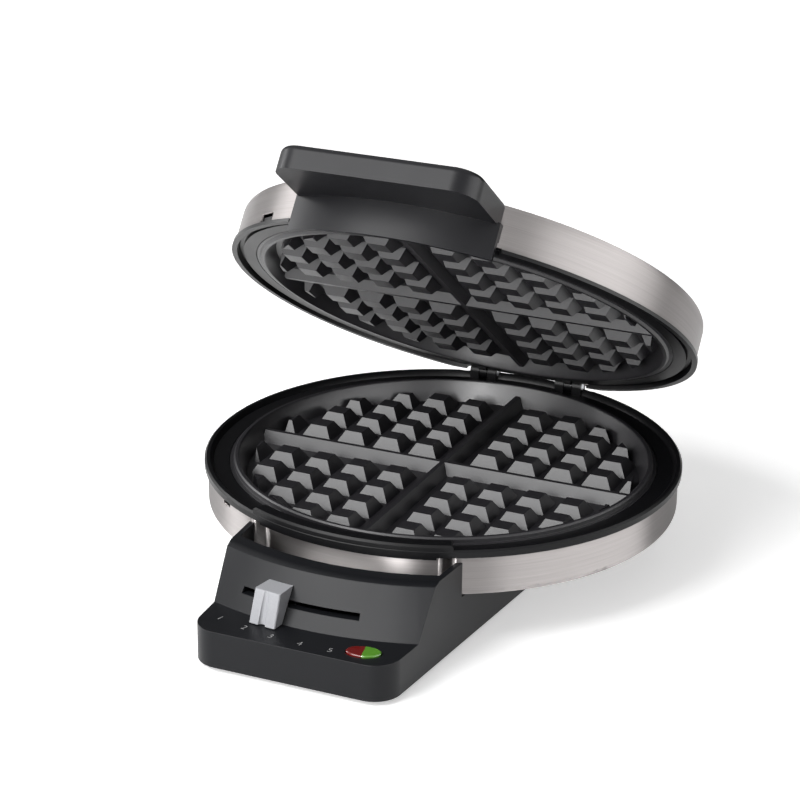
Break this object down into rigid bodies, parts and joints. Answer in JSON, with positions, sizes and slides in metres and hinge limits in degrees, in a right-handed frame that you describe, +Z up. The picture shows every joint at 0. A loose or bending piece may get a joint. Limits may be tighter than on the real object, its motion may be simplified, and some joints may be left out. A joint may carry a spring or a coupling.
{
  "type": "round waffle maker",
  "caption": "Round waffle maker with a flared base and square nose, a steel pan and hinged steel lid over gridded plates, and a browning slider.",
  "frame": {"origin": "on the table, under the middle of the whole part at its rest pose", "axes": "+Z up, the nose and handle towards -Y, the hinge at +Y, +X to the right seen from the front"},
  "size_m": [0.196, 0.248, 0.1855],
  "materials": {
    "housing_plastic": "satin moulded plastic",
    "cover_plastic": "matt moulded plastic",
    "zinc_steel": "zinc plated steel",
    "rubber": "matt rubber",
    "brushed_steel": "drawn steel brushed round the body",
    "rim_plastic": "satin heat resistant plastic",
    "nonstick_cast": "dark non-stick coat on cast aluminium",
    "element_steel": "dull heat-tinted steel sheath",
    "reflector_aluminium": "plain rolled sheet",
    "phenolic": "moulded phenolic",
    "red_lens": "clear red moulding",
    "green_lens": "clear green moulding",
    "lamp_glass": "small neon lamp",
    "brass": "turned brass",
    "slider_plastic": "light grey moulded plastic",
    "handle_plastic": "satin moulded plastic"
  },
  "bodies": {
    "root": {"base_housing": "housing_plastic", "bottom_cover": "cover_plastic", "base_screws": "zinc_steel", "rubber_feet": "rubber", "lower_pan": "brushed_steel", "lower_rim": "rim_plastic", "lower_grid_plate": "nonstick_cast", "lower_heating_element": "element_steel", "lower_reflector": "reflector_aluminium", "lower_plate_screws": "zinc_steel", "thermostat_body": "phenolic", "thermostat_screws": "zinc_steel", "red_lens": "red_lens", "green_lens": "green_lens", "lamp_holder": "cover_plastic", "indicator_lamps": "lamp_glass", "terminal_block": "phenolic", "thermal_fuse": "element_steel", "cord_bushing": "rubber", "hinge_pins": "zinc_steel"},
    "slider": {"thermostat_spindle": "brass", "slider_lever": "zinc_steel", "lever_screw": "zinc_steel", "browning_slider": "slider_plastic"},
    "lid": {"lid_cover": "brushed_steel", "lid_rim": "rim_plastic", "upper_grid_plate": "nonstick_cast", "upper_heating_element": "element_steel", "upper_reflector": "reflector_aluminium", "upper_plate_screws": "zinc_steel", "upper_thermal_fuse": "element_steel", "lid_handle": "handle_plastic", "handle_screws": "zinc_steel"}
  },
  "joints": [
    {"name": "lid_hinge", "type": "hinge", "parent": "root", "child": "lid", "pos_m": [0, 0.113, 0.0426], "axis": [-1, 0, 0], "range_deg": [-36.54, 68]},
    {"name": "browning_slide", "type": "hinge", "parent": "root", "child": "slider", "pos_m": [0, 0.02, 0.0184], "axis": [0, 0, 1], "range_deg": [-6.1, 14.8]}
  ]
}
